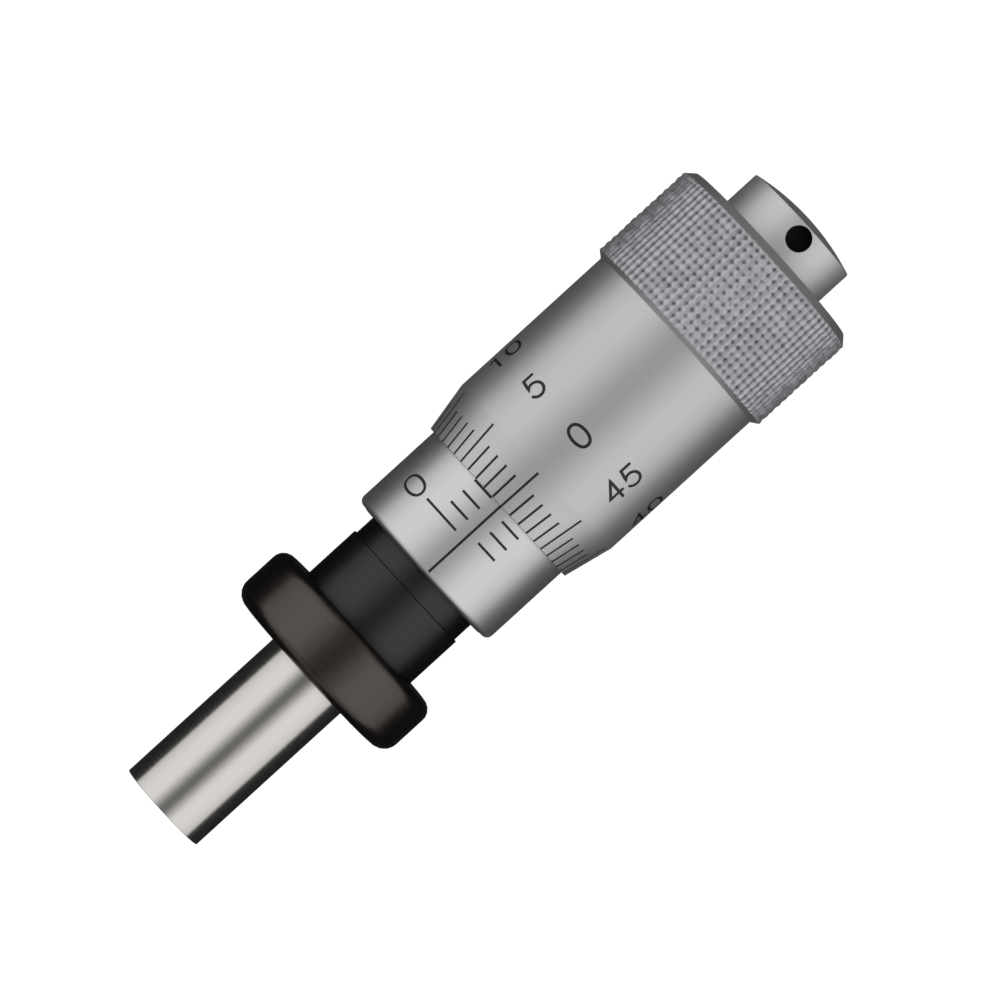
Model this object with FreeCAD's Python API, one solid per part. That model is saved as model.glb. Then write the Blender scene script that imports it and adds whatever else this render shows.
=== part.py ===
import FreeCAD, Part
import os
from math import degrees

# Micrometer head with a plain ground stem and a clamp nut. All lengths are in millimetres.
# The screw's axis is X. The origin is on it, in the plane of the seat at the front of the sleeve.
# +X runs from the measuring face to the thimble, and +Z passes through the sleeve's reading line.
# Threads are plain cylinders at their outside diameter, with a little play between screw and nut.
# Steps, walls, plays and depths are measured on the radius.

# Scale and reading
TRAVEL = 13.0
READING = 3.0
ZERO_LINE_X = 3.35
SCALE_STEP = 1.0
DIVISIONS = 50
DIVISIONS_PER_NUMBER = 5
EDGE_PAST_LINE = 0.10

# Engraved lines
LINE_WIDTH = 0.16
LINE_DEPTH = 0.05
SLEEVE_LINE_GAP = 0.76
SLEEVE_SHORT_LINE = 1.6
SLEEVE_LONG_LINE = 2.85
THIMBLE_SHORT_LINE = 1.97
THIMBLE_LONG_LINE = 3.1

# Play between pieces
SLIDING_PLAY = 0.02
THREAD_PLAY = 0.03
NUT_LIP_PLAY = 0.05
THIMBLE_PLAY = 0.12
CLEARING_PLAY = 0.15

# Stem: the ground part that a bracket holds, with the thread for the clamp nut in front of it
STEM_DIA = 9.5
STEM_PLAIN_LENGTH = 4.13
NUT_THREAD_STEP = 0.25
NUT_THREAD_LENGTH = 3.85
STEM_CHAMFER = 0.4
RELIEF_STEP = 0.16
RELIEF_LENGTH = 1.42
FACE_RELIEF_STEP = 0.10
FACE_RELIEF_DEPTH = 0.10
SEAT_WIDTH = 0.55

# Inner sleeve behind the seat: spindle guide, clearing bore and split screw nut
GUIDE_LENGTH = 9.9
SCREW_NUT_LENGTH = 8.2
SPLIT_COUNT = 3
SPLIT_WIDTH = 0.6
SPLIT_PAST_NUT = 0.4
SPLIT_END_WALL = 0.92
SPLIT_END_TAPER = 0.15
SPLIT_END_PROUD = 0.3

# Adjusting nut on the split end
ADJUSTER_WALL = 0.88
ADJUSTER_LENGTH = 2.2
ADJUSTER_SETBACK = 0.3
ADJUSTER_CHAMFER = 0.25
SPANNER_NOTCH_COUNT = 2
SPANNER_NOTCH_WIDTH = 1.6
SPANNER_NOTCH_DEPTH = 0.9

# Outer sleeve, which carries the linear scale
SLEEVE_WALL = 0.68
SLEEVE_SETBACK = 0.05
SLEEVE_TAIL = 2.05
SLEEVE_CHAMFER = 0.5
SLEEVE_KEY_HOLE_DIA = 1.2
SLEEVE_KEY_HOLE_X = 2.2

# Clamp nut
CLAMP_NUT_WALL = 2.2
CLAMP_NUT_LENGTH = 4.3
CLAMP_NUT_LAP = 0.15
CLAMP_NUT_LIP_LENGTH = 0.6
CLAMP_NUT_CHAMFER = 0.7
CLAMP_NUT_BORE_CHAMFER = 0.3

# Spindle
SPINDLE_DIA = 6.35
SPINDLE_REACH = 25.19
SPINDLE_TIP_CHAMFER = 0.1
SCREW_STEP = 0.325
SCREW_START_GAP = 0.5
UNDERCUT_LENGTH = 0.45
UNDERCUT_STEP = 0.35
TAPER_STEP = 0.05
TAPER_LENGTH = 3.2
TAPER_DROP = 0.32

# Thimble
THIMBLE_END_GAP = 1.25
THIMBLE_EDGE_WALL = 0.18
THIMBLE_CONE_RISE = 0.7
THIMBLE_CONE_LENGTH = 3.32
HUB_REAR_GAP = 1.09
KNURL_RISE = 0.5
KNURL_LENGTH = 8.09
THIMBLE_REAR_CHAMFER = 0.75

# Cap that draws the thimble onto the spindle's taper
CAP_DIA = 8.6
CAP_HEIGHT = 2.72
CAP_DOME = 0.59
CAP_SHANK_DIA = 4.0
CAP_SHANK_LENGTH = 5.6
CAP_HOLE_SPARE = 0.7
DRILL_POINT = 1.1
CAP_KEY_HOLE_DIA = 1.72
CAP_KEY_HOLE_DEPTH = 2.2
CAP_KEY_HOLE_FROM_RIM = 0.96
CAP_KEY_HOLE_TURN = 4.0

ORIGIN = FreeCAD.Vector(0, 0, 0)
X_AXIS = FreeCAD.Vector(1, 0, 0)
Z_AXIS = FreeCAD.Vector(0, 0, 1)

# Places along X that pieces share, at the reading shown
plain_front_x = -(RELIEF_LENGTH + STEM_PLAIN_LENGTH)
guide_rear_x = plain_front_x - NUT_THREAD_LENGTH + GUIDE_LENGTH
sleeve_rear_x = ZERO_LINE_X + TRAVEL + SLEEVE_TAIL
adjuster_front_x = sleeve_rear_x + ADJUSTER_SETBACK
stem_rear_x = adjuster_front_x + ADJUSTER_LENGTH + SPLIT_END_PROUD
thimble_edge_x = ZERO_LINE_X + READING + EDGE_PAST_LINE
hub_front_x = stem_rear_x + THIMBLE_END_GAP + READING
spindle_rear_x = hub_front_x + TAPER_LENGTH
thimble_rear_x = spindle_rear_x + HUB_REAR_GAP

# Radii that pieces share, from the spindle outwards
spindle_radius = SPINDLE_DIA / 2
screw_radius = spindle_radius + SCREW_STEP
screw_nut_radius = screw_radius + THREAD_PLAY
taper_front_radius = screw_radius - TAPER_STEP
taper_rear_radius = taper_front_radius - TAPER_DROP
cap_hole_radius = CAP_SHANK_DIA / 2 + THREAD_PLAY
split_rear_radius = screw_nut_radius + SPLIT_END_WALL
split_front_radius = split_rear_radius + SPLIT_END_TAPER
stem_radius = STEM_DIA / 2
nut_thread_radius = stem_radius - NUT_THREAD_STEP
body_radius = stem_radius + SEAT_WIDTH
sleeve_bore_radius = body_radius + SLIDING_PLAY
sleeve_radius = sleeve_bore_radius + SLEEVE_WALL
thimble_bore_radius = sleeve_radius + THIMBLE_PLAY
thimble_edge_radius = thimble_bore_radius + THIMBLE_EDGE_WALL
barrel_radius = thimble_edge_radius + THIMBLE_CONE_RISE
knurl_radius = barrel_radius + KNURL_RISE


def half_section(corners):
    """Flat face in the XZ plane from (x, radius) corners."""
    points = [FreeCAD.Vector(x, 0, radius) for x, radius in corners]
    return Part.Face(Part.makePolygon(points + points[:1]))


def turned(corners):
    """Solid turned about X from the (x, radius) corners of its half section."""
    return half_section(corners).revolve(ORIGIN, X_AXIS, 360)


def turned_copies(cutter, angles):
    """Copies of a cutter, each turned about X by one of the angles in degrees."""
    return [cutter.rotated(ORIGIN, X_AXIS, angle) for angle in angles]


def spaced(count):
    """Angles in degrees that divide a full turn into equal parts."""
    return [360 * i / count for i in range(count)]


def radial_hole(x, dia, bottom_radius, top_radius):
    """Cutter for a hole that points at the axis from +Z."""
    bottom = FreeCAD.Vector(x, 0, bottom_radius)
    return Part.makeCylinder(dia / 2, top_radius - bottom_radius, bottom, Z_AXIS)


def slab(front_x, rear_x, width, bottom_radius, top_radius):
    """Box over +Z, centred on the XZ plane."""
    corner = FreeCAD.Vector(front_x, -width / 2, bottom_radius)
    return Part.makeBox(rear_x - front_x, width, top_radius - bottom_radius, corner)


def make_inner_sleeve():
    """Stem and body in one piece: spindle guide in front, split screw nut behind."""
    front_x = plain_front_x - NUT_THREAD_LENGTH
    screw_nut_x = stem_rear_x - SCREW_NUT_LENGTH
    guide_radius = spindle_radius + SLIDING_PLAY
    relief_radius = stem_radius - RELIEF_STEP
    clearing_radius = screw_radius + CLEARING_PLAY
    body = turned([
        (front_x, guide_radius),
        (front_x, nut_thread_radius - STEM_CHAMFER),
        (front_x + STEM_CHAMFER, nut_thread_radius),
        (plain_front_x, nut_thread_radius),
        (plain_front_x, stem_radius),
        (-RELIEF_LENGTH, stem_radius),
        (-RELIEF_LENGTH, relief_radius),
        (FACE_RELIEF_DEPTH, relief_radius),
        (0, stem_radius + FACE_RELIEF_STEP),
        (0, body_radius),
        (sleeve_rear_x, body_radius),
        (sleeve_rear_x, split_front_radius),
        (stem_rear_x, split_rear_radius),
        (stem_rear_x, screw_nut_radius),
        (screw_nut_x, screw_nut_radius),
        (screw_nut_x, clearing_radius),
        (guide_rear_x, clearing_radius),
        (guide_rear_x, guide_radius),
    ])
    split_x = screw_nut_x - SPLIT_PAST_NUT
    top = 2 * body_radius
    cut = slab(split_x, stem_rear_x + SPLIT_WIDTH, SPLIT_WIDTH, 0, top)
    cut = cut.fuse(radial_hole(split_x, SPLIT_WIDTH, 0, top))
    return body.cut(turned_copies(cut, spaced(SPLIT_COUNT)))


def make_adjusting_nut():
    """Ring nut that closes the split end onto the screw, with notches for a spanner."""
    rear_x = adjuster_front_x + ADJUSTER_LENGTH
    slope = (split_rear_radius - split_front_radius) / (stem_rear_x - sleeve_rear_x)
    front_seat = split_front_radius + slope * ADJUSTER_SETBACK + SLIDING_PLAY
    rim_radius = front_seat + ADJUSTER_WALL
    ring = turned([
        (adjuster_front_x, front_seat),
        (adjuster_front_x, rim_radius - ADJUSTER_CHAMFER),
        (adjuster_front_x + ADJUSTER_CHAMFER, rim_radius),
        (rear_x - ADJUSTER_CHAMFER, rim_radius),
        (rear_x, rim_radius - ADJUSTER_CHAMFER),
        (rear_x, front_seat + slope * ADJUSTER_LENGTH),
    ])
    notch_x = rear_x - SPANNER_NOTCH_DEPTH
    notch = slab(notch_x, stem_rear_x, SPANNER_NOTCH_WIDTH, 0, 2 * rim_radius)
    return ring.cut(turned_copies(notch, spaced(SPANNER_NOTCH_COUNT)))


def scale_line(x, start_arc, length):
    """Cutter for a line of the sleeve's scale that runs round it from the reading line.

    A length above zero runs towards +Y, and one below zero towards -Y.
    """
    towards = -1 if length > 0 else 1
    mark = half_section([
        (x - LINE_WIDTH / 2, sleeve_radius - LINE_DEPTH),
        (x + LINE_WIDTH / 2, sleeve_radius - LINE_DEPTH),
        (x + LINE_WIDTH / 2, sleeve_radius + LINE_DEPTH),
        (x - LINE_WIDTH / 2, sleeve_radius + LINE_DEPTH),
    ])
    start = mark.rotated(ORIGIN, X_AXIS, towards * degrees(start_arc / sleeve_radius))
    return start.revolve(ORIGIN, X_AXIS, -degrees(length / sleeve_radius))


def sleeve_scale():
    """Cutters for the reading line, the whole millimetres above it and the halves below."""
    steps = round(TRAVEL / SCALE_STEP)
    scale_end_x = ZERO_LINE_X + steps * SCALE_STEP
    floor = sleeve_radius - LINE_DEPTH
    cutters = [slab(0, scale_end_x, LINE_WIDTH, floor, 2 * sleeve_radius)]
    for step in range(steps + 1):
        x = ZERO_LINE_X + step * SCALE_STEP
        numbered = step % DIVISIONS_PER_NUMBER == 0
        length = SLEEVE_LONG_LINE if numbered else SLEEVE_SHORT_LINE
        cutters.append(scale_line(x, SLEEVE_LINE_GAP, length))
        if step < steps:
            half_x = x + SCALE_STEP / 2
            cutters.append(scale_line(half_x, SLEEVE_LINE_GAP, -SLEEVE_SHORT_LINE))
    return cutters


def make_outer_sleeve():
    """Thin sleeve with the linear scale, turned on the body to set the zero."""
    tube = turned([
        (SLEEVE_SETBACK, sleeve_bore_radius),
        (SLEEVE_SETBACK, sleeve_radius - SLEEVE_CHAMFER),
        (SLEEVE_SETBACK + SLEEVE_CHAMFER, sleeve_radius),
        (sleeve_rear_x, sleeve_radius),
        (sleeve_rear_x, sleeve_bore_radius),
    ])
    hole = radial_hole(SLEEVE_KEY_HOLE_X, SLEEVE_KEY_HOLE_DIA, 0, 2 * sleeve_radius)
    return tube.cut([hole.rotated(ORIGIN, X_AXIS, 180)] + sleeve_scale())


def make_clamp_nut():
    """Round nut on the stem's thread, with a lip that runs over the plain stem."""
    rear_x = plain_front_x + CLAMP_NUT_LAP
    front_x = rear_x - CLAMP_NUT_LENGTH
    lip_x = rear_x - CLAMP_NUT_LIP_LENGTH
    bore_radius = nut_thread_radius + THREAD_PLAY
    lip_radius = stem_radius + NUT_LIP_PLAY
    rim_radius = lip_radius + CLAMP_NUT_WALL
    return turned([
        (front_x + CLAMP_NUT_BORE_CHAMFER, bore_radius),
        (front_x, bore_radius + CLAMP_NUT_BORE_CHAMFER),
        (front_x, rim_radius - CLAMP_NUT_CHAMFER),
        (front_x + CLAMP_NUT_CHAMFER, rim_radius),
        (rear_x - CLAMP_NUT_CHAMFER, rim_radius),
        (rear_x, rim_radius - CLAMP_NUT_CHAMFER),
        (rear_x, lip_radius),
        (lip_x, lip_radius),
        (lip_x, bore_radius),
    ])


def make_spindle():
    """Spindle: ground nose, screw, undercut, taper for the thimble, and hole for the cap."""
    tip_x = READING - SPINDLE_REACH
    screw_front_x = guide_rear_x + SCREW_START_GAP + READING
    screw_rear_x = hub_front_x - UNDERCUT_LENGTH
    undercut_radius = taper_front_radius - UNDERCUT_STEP
    hole_end_x = thimble_rear_x - CAP_SHANK_LENGTH - CAP_HOLE_SPARE
    return turned([
        (tip_x, 0),
        (tip_x, spindle_radius - SPINDLE_TIP_CHAMFER),
        (tip_x + SPINDLE_TIP_CHAMFER, spindle_radius),
        (screw_front_x, spindle_radius),
        (screw_front_x, screw_radius),
        (screw_rear_x, screw_radius),
        (screw_rear_x, undercut_radius),
        (hub_front_x, undercut_radius),
        (hub_front_x, taper_front_radius),
        (spindle_rear_x, taper_rear_radius),
        (spindle_rear_x, cap_hole_radius),
        (hole_end_x, cap_hole_radius),
        (hole_end_x - DRILL_POINT, 0),
    ])


def thimble_line(length):
    """Cutter for a division that runs up the thimble's cone from its edge, over +Z."""
    slope = THIMBLE_CONE_RISE / THIMBLE_CONE_LENGTH
    outline = []
    for height in (-LINE_DEPTH, LINE_DEPTH):
        outline.append((thimble_edge_x, thimble_edge_radius + height))
        outline.append((thimble_edge_x + length, thimble_edge_radius + slope * length + height))
    low_front, low_rear, high_front, high_rear = outline
    side = half_section([low_front, low_rear, high_rear, high_front])
    side.translate(FreeCAD.Vector(0, -LINE_WIDTH / 2, 0))
    return side.extrude(FreeCAD.Vector(0, LINE_WIDTH, 0))


def make_thimble():
    """Thimble: bevelled reading edge, plain barrel, knurl band, and hub with a tapered bore."""
    knurl_front_x = thimble_rear_x - KNURL_LENGTH
    blank = turned([
        (thimble_edge_x, thimble_bore_radius),
        (thimble_edge_x, thimble_edge_radius),
        (thimble_edge_x + THIMBLE_CONE_LENGTH, barrel_radius),
        (knurl_front_x, barrel_radius),
        (knurl_front_x + KNURL_RISE, knurl_radius),
        (thimble_rear_x - THIMBLE_REAR_CHAMFER, knurl_radius),
        (thimble_rear_x, knurl_radius - THIMBLE_REAR_CHAMFER),
        (thimble_rear_x, taper_rear_radius + SLIDING_PLAY),
        (spindle_rear_x, taper_rear_radius + SLIDING_PLAY),
        (hub_front_x, taper_front_radius + SLIDING_PLAY),
        (hub_front_x, thimble_bore_radius),
    ])
    angles = spaced(DIVISIONS)
    long_angles = angles[::DIVISIONS_PER_NUMBER]
    short_angles = [angle for angle in angles if angle not in long_angles]
    lines = turned_copies(thimble_line(THIMBLE_LONG_LINE), long_angles)
    lines += turned_copies(thimble_line(THIMBLE_SHORT_LINE), short_angles)
    return blank.cut(lines)


def make_thimble_cap():
    """Domed cap screw with a blind hole for the key."""
    cap_radius = CAP_DIA / 2
    shank_radius = CAP_SHANK_DIA / 2
    rim_x = thimble_rear_x + CAP_HEIGHT
    top_x = rim_x + CAP_DOME
    blank = turned([
        (thimble_rear_x - CAP_SHANK_LENGTH, 0),
        (thimble_rear_x - CAP_SHANK_LENGTH, shank_radius),
        (thimble_rear_x, shank_radius),
        (thimble_rear_x, cap_radius),
        (top_x, cap_radius),
        (top_x, 0),
    ])
    dome_radius = (cap_radius ** 2 + CAP_DOME ** 2) / (2 * CAP_DOME)
    dome_centre = FreeCAD.Vector(top_x - dome_radius, 0, 0)
    domed = blank.common(Part.makeSphere(dome_radius, dome_centre))
    hole_x = rim_x - CAP_KEY_HOLE_FROM_RIM
    hole = radial_hole(hole_x, CAP_KEY_HOLE_DIA, cap_radius - CAP_KEY_HOLE_DEPTH, CAP_DIA)
    return domed.cut(hole.rotated(ORIGIN, X_AXIS, CAP_KEY_HOLE_TURN))


pieces = {
    "inner_sleeve": make_inner_sleeve(),
    "adjusting_nut": make_adjusting_nut(),
    "outer_sleeve": make_outer_sleeve(),
    "clamp_nut": make_clamp_nut(),
    "spindle": make_spindle(),
    "thimble": make_thimble(),
    "thimble_cap": make_thimble_cap(),
}

os.makedirs("parts", exist_ok=True)
for name, shape in pieces.items():
    solid = shape.Solids[0]
    solid.exportStep(f"parts/{name}.step")
    box = solid.BoundBox
    print(f"{name}: {len(shape.Solids)} solid, valid {solid.isValid()}, {solid.Volume:.1f} mm3,")
    print(f"    x {box.XMin:.2f} to {box.XMax:.2f}, {len(solid.Faces)} faces")
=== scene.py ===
# %% [markdown]
# # A micrometer head
# A micrometer head is a fine screw with a scale on it. A bracket holds the black stem, the
# knurled thimble is turned by hand, and the spindle moves by half a millimetre for each turn.
# Nearly every piece is turned on a lathe, so the lesson starts with a lathe of our own: an
# outline of corners, spun round the X axis. Everything is drawn in millimetres, as on the
# maker's drawing, and made into metres at the very end.

# %% Load the frame and keep its box
import math

import bmesh
import bpy
import numpy as np
from mathutils import Matrix, Vector


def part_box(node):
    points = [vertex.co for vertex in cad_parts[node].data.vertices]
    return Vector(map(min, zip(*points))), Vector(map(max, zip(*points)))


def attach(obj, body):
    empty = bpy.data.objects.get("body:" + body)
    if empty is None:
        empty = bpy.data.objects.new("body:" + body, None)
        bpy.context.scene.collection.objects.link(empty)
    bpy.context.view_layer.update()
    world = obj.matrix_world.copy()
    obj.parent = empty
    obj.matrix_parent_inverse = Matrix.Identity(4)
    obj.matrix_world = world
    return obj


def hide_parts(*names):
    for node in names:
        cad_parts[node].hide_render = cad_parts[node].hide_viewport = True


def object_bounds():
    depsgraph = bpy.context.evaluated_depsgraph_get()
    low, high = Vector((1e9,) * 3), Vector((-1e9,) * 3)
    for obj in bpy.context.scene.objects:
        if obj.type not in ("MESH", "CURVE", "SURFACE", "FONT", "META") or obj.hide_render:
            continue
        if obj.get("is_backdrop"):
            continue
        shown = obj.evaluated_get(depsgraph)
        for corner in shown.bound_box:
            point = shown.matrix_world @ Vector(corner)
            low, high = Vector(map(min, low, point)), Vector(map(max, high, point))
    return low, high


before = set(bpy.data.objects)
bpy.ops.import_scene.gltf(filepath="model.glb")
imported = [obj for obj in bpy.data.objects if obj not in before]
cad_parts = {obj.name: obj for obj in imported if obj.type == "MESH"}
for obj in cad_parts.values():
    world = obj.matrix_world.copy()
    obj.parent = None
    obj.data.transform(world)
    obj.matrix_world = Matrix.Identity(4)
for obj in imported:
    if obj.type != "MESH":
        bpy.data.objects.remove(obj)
cad_low, cad_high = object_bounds()
MM = 0.001
scene = bpy.context.scene


def reach(node):
    """Front end, rear end and outer radius of a turned CAD piece, in millimetres."""
    low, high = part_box(node)
    return [round(value / MM, 3) for value in (low.x, high.x, high.z)]


for node in sorted(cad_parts):
    print(node, "front, rear, radius:", *reach(node))

# %% [markdown]
# ## Colours and nodes
# Finishes are written as sRGB hex values, the way a colour chart gives them, while Blender
# counts light in linear values. One function turns the first into the second. Materials and
# Geometry Nodes trees are built from the same small function, which adds a node, sets its
# own options and leaves its inputs to another one, which also fills those of nodes that are
# there already. Three more start a material, turn Blender's editable mesh into a plain one,
# and put an object into the scene.

# %% Colour, node and object helpers
MATH = "ShaderNodeMath"
VECTOR_MATH = "ShaderNodeVectorMath"


def colour(code):
    """Linear RGBA from an sRGB hex value such as #C4C5C7."""
    parts = [int(code[i:i + 2], 16) / 255 for i in (1, 3, 5)]
    linear = [p / 12.92 if p <= 0.04045 else ((p + 0.055) / 1.055) ** 2.4 for p in parts]
    return (*linear, 1.0)


def fill(tree, node, inputs):
    """Fill or link inputs of a node, by name in a dict, or in the node's order in a list.

    An input takes a value, a socket, or another node, which stands for its first output.
    """
    for name, value in inputs.items() if isinstance(inputs, dict) else enumerate(inputs):
        if isinstance(value, bpy.types.Node):
            value = value.outputs[0]
        if isinstance(value, bpy.types.NodeSocket):
            tree.links.new(value, node.inputs[name])
        else:
            node.inputs[name].default_value = value


def add(tree, kind, inputs=(), **settings):
    """New node with its settings and its inputs."""
    node = tree.nodes.new(kind)
    for name, value in settings.items():
        setattr(node, name, value)
    fill(tree, node, inputs)
    return node


def new_material(name):
    """Material and its node tree."""
    material = bpy.data.materials.new(name)
    material.use_nodes = True
    return material, material.node_tree


def plain_mesh(name, shape):
    """Mesh from a bmesh, which is used up."""
    mesh = bpy.data.meshes.new(name)
    shape.to_mesh(mesh)
    shape.free()
    return mesh


def in_scene(name, data, material=None):
    """New object in the scene, with its material."""
    if material:
        data.materials.append(material)
    piece = bpy.data.objects.new(name, data)
    scene.collection.objects.link(piece)
    return piece


print("mid grey #808080 in linear light:", [round(part, 3) for part in colour("#808080")])

# %% [markdown]
# ## The mark of the tool
# A turned or ground surface carries fine rings round its axis, on its cylinders and on its end
# faces alike. A texture map would need its own layout for each piece. But both kinds of ring
# follow from one number, the place along the axis plus the distance from it, so noise along
# that single number gives rings everywhere, with no seam.

# %% Rings left by turning and grinding
# Real grinding marks are about 0.02 mm apart, too fine for this picture, so the rings are
# drawn some 0.12 to 0.15 mm apart.
GROUND_SPACING = 0.12
TURNED_SPACING = 0.15


def axis_distance(tree, place):
    """The place along X and the distance from X of each point, as two sockets."""
    axes = add(tree, "ShaderNodeSeparateXYZ", [place]).outputs
    across = add(tree, "ShaderNodeCombineXYZ", {"Y": axes["Y"], "Z": axes["Z"]})
    radius = add(tree, VECTOR_MATH, [across], operation="LENGTH")
    return axes["X"], radius.outputs["Value"]


def turned_rings(tree, spacing_mm):
    """Noise in rings round X, about spacing_mm apart."""
    place = add(tree, "ShaderNodeTexCoord").outputs["Object"]
    along = add(tree, MATH, axis_distance(tree, place), operation="ADD")
    return add(tree, "ShaderNodeTexNoise", {
        "W": along, "Scale": 1 / (spacing_mm * MM), "Detail": 3.0, "Roughness": 0.6},
        noise_dimensions="1D")


# %% [markdown]
# ## Finishes
# All visible metal here is steel, ground or turned, then left bare, plated with chrome or
# blackened. The rings of its making change three things at once: their grooves are a little
# darker, as painted shade, their crests smoother, and they tilt the reflection. Each finish below
# names the real one.
# Its two roughness values say how sharply it mirrors the room. At a glancing angle chrome and
# steel mirror only some 0.8 of what the simple curve gives, and a blasted skin shades itself
# as well. The shader's Specular Tint is made for that: it darkens the rim alone.

# %% Metal finishes
MICRON = 1e-6
GROOVE_SHADE = 0.94
# Blender's noise seldom leaves this range, so the roughness is spread over it.
NOISE_LOW = 0.3
NOISE_HIGH = 0.7


def metal(name, hex_colour, spacing_mm, depth_um, low_rough, high_rough, rim=0.8):
    """Metal with the rings of its making, depth_um deep, between two roughness values."""
    material, tree = new_material(name)
    rings = turned_rings(tree, spacing_mm)
    crest = colour(hex_colour)
    # Painted shade: the grooves of the rings are a little darker than the crests.
    groove_painted_shade = (*(GROOVE_SHADE * part for part in crest[:3]), 1.0)
    # Inputs 0, 6 and 7 of a Mix node for colours are its factor and its two colours.
    tint = add(tree, "ShaderNodeMix", {0: rings, 6: groove_painted_shade, 7: crest}, data_type="RGBA")
    rough = add(tree, "ShaderNodeMapRange", {
        "Value": rings, "From Min": NOISE_LOW, "From Max": NOISE_HIGH,
        "To Min": low_rough, "To Max": high_rough})
    bump = add(tree, "ShaderNodeBump", {"Height": rings, "Distance": depth_um * MICRON})
    fill(tree, tree.nodes["Principled BSDF"], {
        "Base Color": tint.outputs[2], "Metallic": 1.0, "Roughness": rough,
        "Specular Tint": (rim, rim, rim, 1.0), "Normal": bump})
    return material


# Hardened tool steel, ground and then lapped: a warm grey mirror, only slightly blurred.
ground_steel = metal("lapped hardened steel", "#D4D1CD", GROUND_SPACING, 0.4, 0.17, 0.23)
# Chrome over a fine blast: soft, wide highlights without glare, so that the lines read well.
satin_chrome = metal("satin chrome plate", "#D7D7D7", GROUND_SPACING, 0.8, 0.40, 0.46, 0.5)
# The same plate on the thimble, blasted a little coarser, which is duller.
matt_chrome = metal("matt satin chrome plate", "#CFCFCF", GROUND_SPACING, 0.8, 0.47, 0.53, 0.5)
# And coarser still on the cap, which is palest at its rim.
cap_chrome = metal("coarse satin chrome plate", "#DADADA", GROUND_SPACING, 0.8, 0.52, 0.58, 1.0)
# Black oxide on turned steel: a brown-black skin that keeps a dim, warm sheen.
nut_oxide = metal("black oxide on turned steel", "#56504D", TURNED_SPACING, 0.3, 0.26, 0.31)
# The same oxide on ground steel: neutral, duller, nearly black where no light falls.
stem_oxide = metal("black oxide on ground steel", "#3F3F3F", GROUND_SPACING, 0.6, 0.34, 0.42)
# Steel straight from the lathe, for the hidden nut: bright, with plain tool marks.
turned_steel = metal("bright turned steel", "#BEBEBD", TURNED_SPACING, 1.5, 0.25, 0.35)
print([material.name for material in bpy.data.materials])

# %% [markdown]
# ## Chrome on the knurl
# The rolled band wears the same chrome, but its hundreds of small slopes scatter the light, so
# it looks grey and matt from every side. The pits get a painted shade: the colour darkens from
# the tips to the bottom of each pit, by the distance from the axis.

# %% The knurl's finish
# A little under the CAD's radius, so that no tip stands out of its box.
KNURL_RADIUS = reach("thimble")[2] - 0.003
KNURL_DEPTH = 0.20
# Painted shade in the pits starts this deep below the tips and darkens downwards.
SHADE_FROM_DEPTH = 0.4 * KNURL_DEPTH
TIP_COLOUR = "#C3C4C8"
knurl_chrome_shaded_pits = metal("satin chrome on rolled knurl", TIP_COLOUR, GROUND_SPACING, 0.8,
                     0.50, 0.60, 1.0)
tree = knurl_chrome_shaded_pits.node_tree
place = add(tree, "ShaderNodeTexCoord").outputs["Object"]
# Mask of the painted shade: 0 at the bottom of a pit, 1 from that depth up to the tips.
height = add(tree, "ShaderNodeMapRange", {
    "Value": axis_distance(tree, place)[1], "From Min": (KNURL_RADIUS - KNURL_DEPTH) * MM,
    "From Max": (KNURL_RADIUS - SHADE_FROM_DEPTH) * MM})
# Painted shade: dark grey at the bottom of the pits, the chrome's own colour on the tips.
tint = add(tree, "ShaderNodeMix", {
    0: height, 6: colour("#6C6B6E"), 7: colour(TIP_COLOUR)}, data_type="RGBA")
fill(tree, tree.nodes["Principled BSDF"], {"Base Color": tint.outputs[2]})
print(knurl_chrome_shaded_pits.name, "from", KNURL_RADIUS - KNURL_DEPTH, "to", KNURL_RADIUS, "mm")

# %% [markdown]
# ## Paint
# Lines and numbers are engraved after plating, then filled with black paint that is wiped off
# the chrome around them. The paint lies in the groove, so it is matt where the metal shines.
# Its grain is about 0.02 mm on the real thing, and is drawn at 0.2 mm so that it shows.

# %% Paint in the engraving
PAINT_GRAIN = 0.2
PAINT_ROUGHNESS = 0.55
# The same enamel lines the cap's key hole, where it is painted shade.
paint, tree = new_material("black engraving enamel and painted key hole shade")
place = add(tree, "ShaderNodeTexCoord").outputs["Object"]
grain = add(tree, "ShaderNodeTexNoise", {
    "Vector": place, "Scale": 1 / (PAINT_GRAIN * MM), "Detail": 2.0})
tint = add(tree, "ShaderNodeMix", {0: grain, 6: colour("#0E0E0F"), 7: colour("#1C1C1D")},
           data_type="RGBA")
fill(tree, tree.nodes["Principled BSDF"], {
    "Base Color": tint.outputs[2], "Roughness": PAINT_ROUGHNESS})
print(len(bpy.data.materials), "materials so far")

# %% [markdown]
# ## The lathe
# A lathe works from half a section. Its corners are (x, radius) pairs that run round the
# metal clockwise, with an optional fillet radius, because no real edge is perfectly sharp
# and the small rounds catch the light. Each stretch of the outline keeps the exact direction
# that it faces. The pieces are cut into later, which leaves long thin faces, and with those
# exact directions they still shade like a true cylinder.

# %% Outline of a half section
FILLET_STEPS = 5
ON_AXIS = 1e-6


def unit(step):
    """Direction of a step."""
    return step / np.hypot(*step)


def left_of(step):
    """A step turned to its left by a quarter."""
    return np.array([-step[1], step[0]])


def facing(start, end):
    """Direction that a stretch from start to end faces, with the metal on its right."""
    return unit(left_of(np.subtract(end, start)))


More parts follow.
